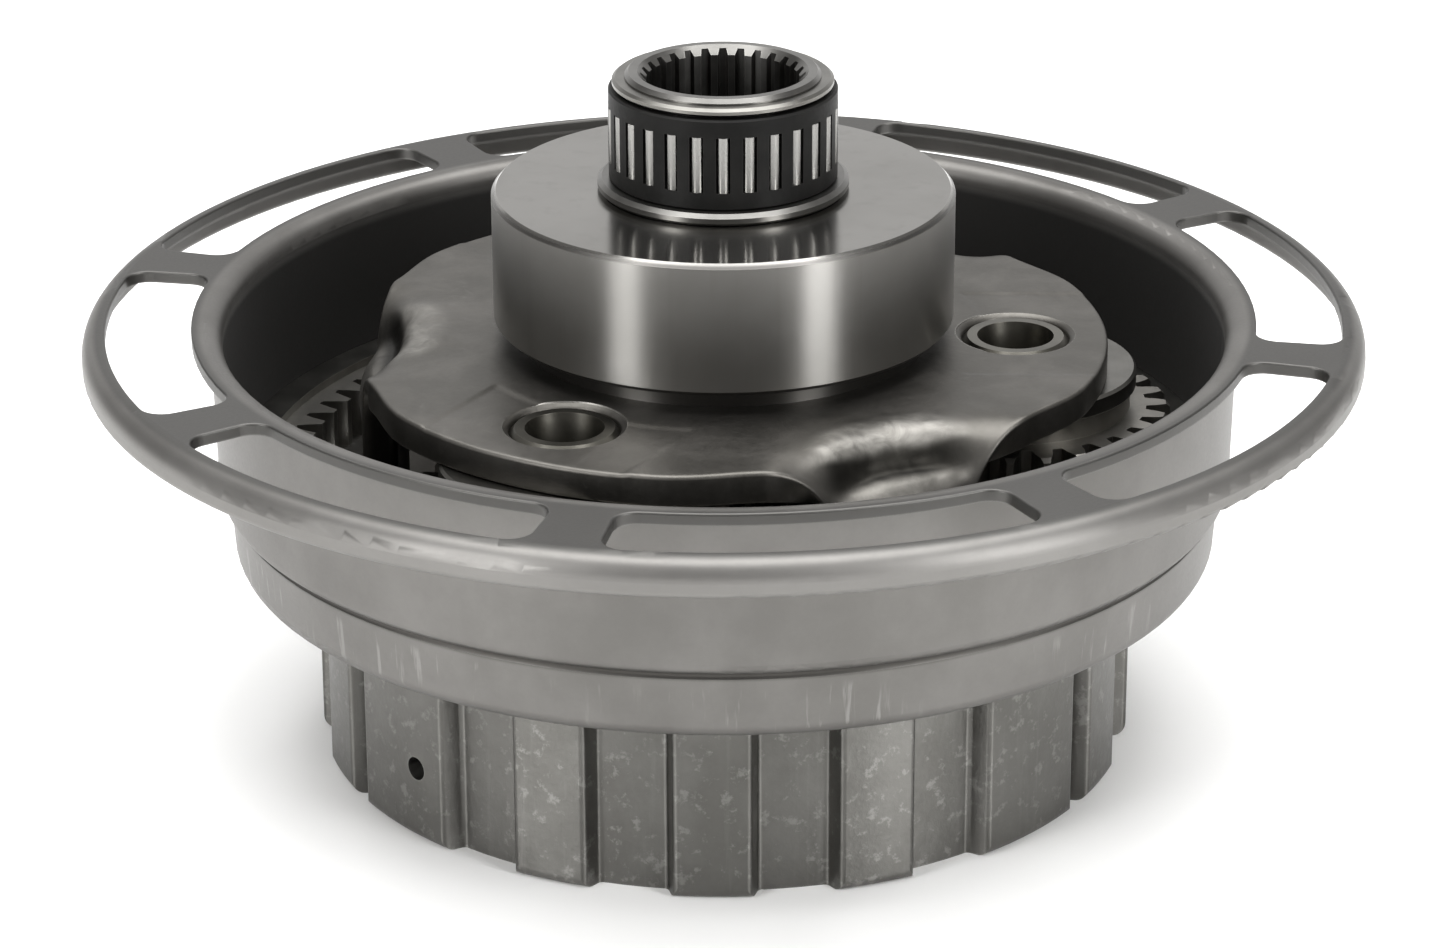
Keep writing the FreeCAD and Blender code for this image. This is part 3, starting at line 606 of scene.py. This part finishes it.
def lathe(name, profile, steps, cx=0.0, cy=0.0):
    """Closed solid of revolution from (r, z) in mm; the first and last point may lie on the axis."""
    verts, rings = [], []
    for r, z in profile:
        if r < 1e-9:
            rings.append([len(verts)] * steps)
            verts.append((cx, cy, z))
        else:
            row = []
            for i in range(steps):
                t = 2.0 * math.pi * i / steps
                row.append(len(verts))
                verts.append((cx + r * math.cos(t), cy + r * math.sin(t), z))
            rings.append(row)
    faces = []
    axis = profile[0][0] < 1e-9
    pairs = list(zip(rings, rings[1:])) + ([] if axis else [(rings[-1], rings[0])])
    for a, b in pairs:
        for i in range(steps):
            j = (i + 1) % steps
            f = []
            for v in (a[i], a[j], b[j], b[i]):
                if v not in f:
                    f.append(v)
            if len(f) > 2:
                faces.append(tuple(f))
    me = bpy.data.meshes.new(name)
    me.from_pydata([(x * MM, y * MM, z * MM) for x, y, z in verts], [], faces)
    bm = bmesh.new()
    bm.from_mesh(me)
    bmesh.ops.recalc_face_normals(bm, faces=bm.faces)
    if bm.calc_volume(signed=True) < 0:
        bmesh.ops.reverse_faces(bm, faces=bm.faces)
    bm.to_mesh(me)
    bm.free()
    ob = bpy.data.objects.new(name, me)
    bpy.context.scene.collection.objects.link(ob)
    return ob


def finish_piece(ob, body, slot, sharp, *replaced):
    paint(ob, slot)
    ob.data.shade_smooth()
    ob.data.set_sharp_from_angle(angle=math.radians(sharp))
    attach(ob, body)
    if replaced:
        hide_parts(*replaced)


carrier_plate()


# ------------------------------------------------------------------ stage
def floor():
    me = bpy.data.meshes.new("floor")
    s = 6.0
    me.from_pydata([(-s, -s, 0), (s, -s, 0), (s, s, 0), (-s, s, 0)], [], [(0, 1, 2, 3)])
    ob = bpy.data.objects.new("floor", me)
    bpy.context.scene.collection.objects.link(ob)
    g = G("floor_mat")
    fine = g.noise(g.co, 60.0, 3.0)
    g.done(g.mix(fine, (0.955, 0.955, 0.95), (0.975, 0.975, 0.97)), 0.85, 0.0, None, spec=0.2)
    me.materials.append(g.mat)


def area(name, loc, target, sx, sy, watts, color=(1, 1, 1), spread=180.0):
    d = bpy.data.lights.new(name, "AREA")
    d.shape = "RECTANGLE"
    d.size, d.size_y = sx, sy
    d.energy = watts
    d.color = color
    d.spread = math.radians(spread)
    o = bpy.data.objects.new(name, d)
    o.location = loc
    o.rotation_euler = (Vector(target) - Vector(loc)).to_track_quat("-Z", "Y").to_euler()
    o.visible_camera = False
    bpy.context.scene.collection.objects.link(o)
    return o


floor()
w = bpy.data.worlds.new("studio")
bpy.context.scene.world = w
w.use_nodes = True
w.node_tree.nodes["Background"].inputs[0].default_value = (1.0, 0.985, 0.965, 1)
w.node_tree.nodes["Background"].inputs[1].default_value = 0.34


def strip(name, deg, dist, width, z0, z1, watts):
    """Tall soft box standing round the object, facing its axis."""
    a = math.radians(deg)
    zc = (z0 + z1) / 2.0
    return area(name, (dist * math.cos(a), dist * math.sin(a), zc), (0, 0, zc), width, z1 - z0, watts)


area("top_box", (0.0, 0.15, 1.5), (0, 0.05, 0), 1.7, 1.5, 42.0)
area("backdrop", (0.0, 1.9, 0.75), (0, 0, 0.35), 3.2, 1.5, 9.0)
strip("strip_left", -90.0 - 47.5, 1.2, 0.30, 0.02, 1.25, 12.0)
strip("strip_right", -90.0 + 46.5, 1.2, 0.32, 0.02, 1.25, 13.0)

# ------------------------------------------------------------------ camera
D, E = 7.5 * 0.118, math.radians(22.57)
AIM_Z = RIM - 0.2721 * 0.118
cam = bpy.data.cameras.new("camera")
cam.lens = 4718.0 / 1440.0 * 36.0
cam.sensor_width = 36.0
cam.shift_x = -4.1 / 1440.0
cam.clip_start = 0.05
cam.clip_end = 20.0
co = bpy.data.objects.new("camera", cam)
co.location = (0.0, -D * math.cos(E), AIM_Z + D * math.sin(E))
q = (Vector((0, 0, AIM_Z)) - co.location).to_track_quat("-Z", "Y")
co.rotation_euler = (q.to_matrix() @ Matrix.Rotation(-0.00295, 3, "Z")).to_euler()
bpy.context.scene.collection.objects.link(co)
bpy.context.scene.camera = co
bpy.context.scene.view_settings.view_transform = "Standard"
